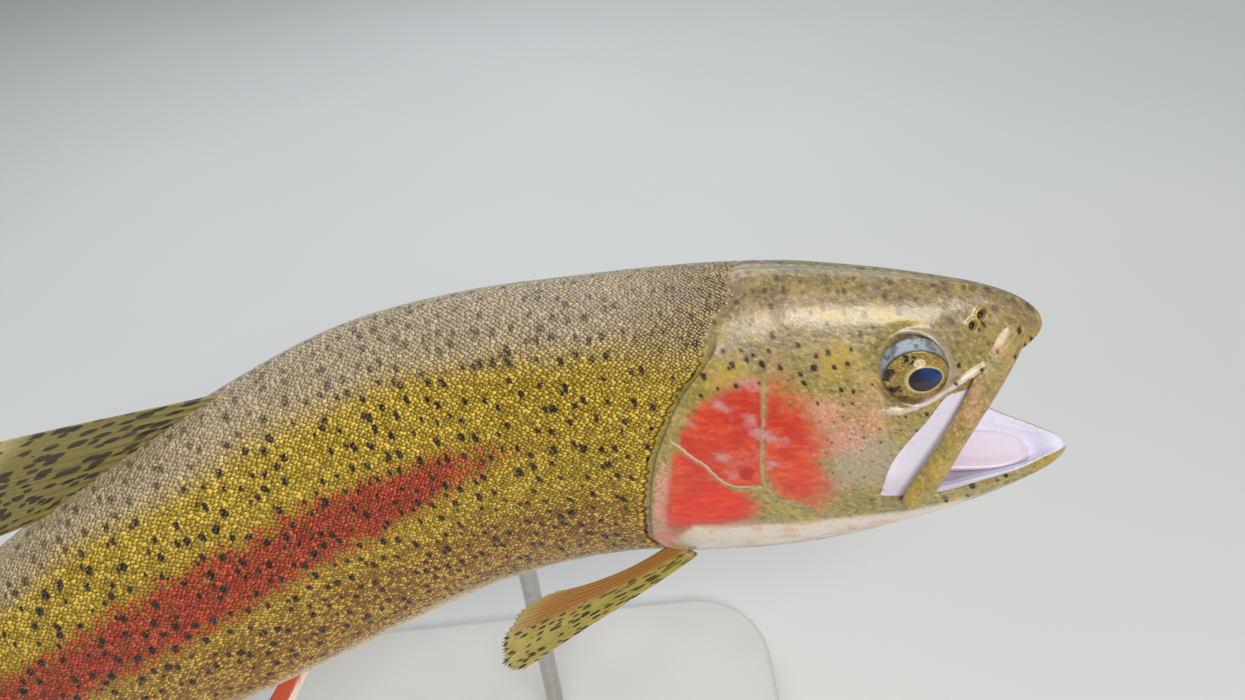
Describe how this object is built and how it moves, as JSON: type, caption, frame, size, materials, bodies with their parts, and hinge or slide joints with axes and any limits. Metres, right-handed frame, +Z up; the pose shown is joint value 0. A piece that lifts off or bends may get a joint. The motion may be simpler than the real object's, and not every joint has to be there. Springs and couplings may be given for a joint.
{
  "type": "rainbow trout display model",
  "caption": "Life-size rainbow trout with an open mouth and a gently curved body, held over a flat board by short upright rods.",
  "frame": {"origin": "middle of the display board's underside, on the surface that it stands on", "axes": "+Z up, +X the way the fish's head points along the board, -Y the side that the fish's right flank shows"},
  "size_m": [0.4962, 0.1222, 0.2346],
  "materials": {
    "head_skin": "wet, smooth, olive with dark spots",
    "gill_cover": "wet, red to orange",
    "jaw_skin": "wet, golden olive",
    "mouth_lining": "wet, pale lilac",
    "eye": "clear and glossy over a gold iris",
    "flank": "wet scales, olive with black spots and a red band",
    "fin": "wet, thin, rayed and spotted",
    "steel_rod": "satin",
    "board_paint": "matt, off-white"
  },
  "bodies": {
    "root": {"head": "head_skin", "gill_cover_right": "gill_cover", "gill_cover_left": "gill_cover", "lower_jaw": "jaw_skin", "maxilla_right": "jaw_skin", "maxilla_left": "jaw_skin", "mouth_web_right": "mouth_lining", "mouth_web_left": "mouth_lining", "tongue": "mouth_lining", "eye_right": "eye", "eye_left": "eye", "trunk": "flank", "tail_stalk": "flank", "dorsal_fin": "fin", "adipose_fin": "fin", "anal_fin": "fin", "caudal_fin": "fin", "pectoral_fin_right": "fin", "pectoral_fin_left": "fin", "pelvic_fin_right": "fin", "pelvic_fin_left": "fin", "stand_base": "board_paint", "stand_rod_front": "steel_rod", "stand_rod_rear": "steel_rod"}
  },
  "joints": []
}
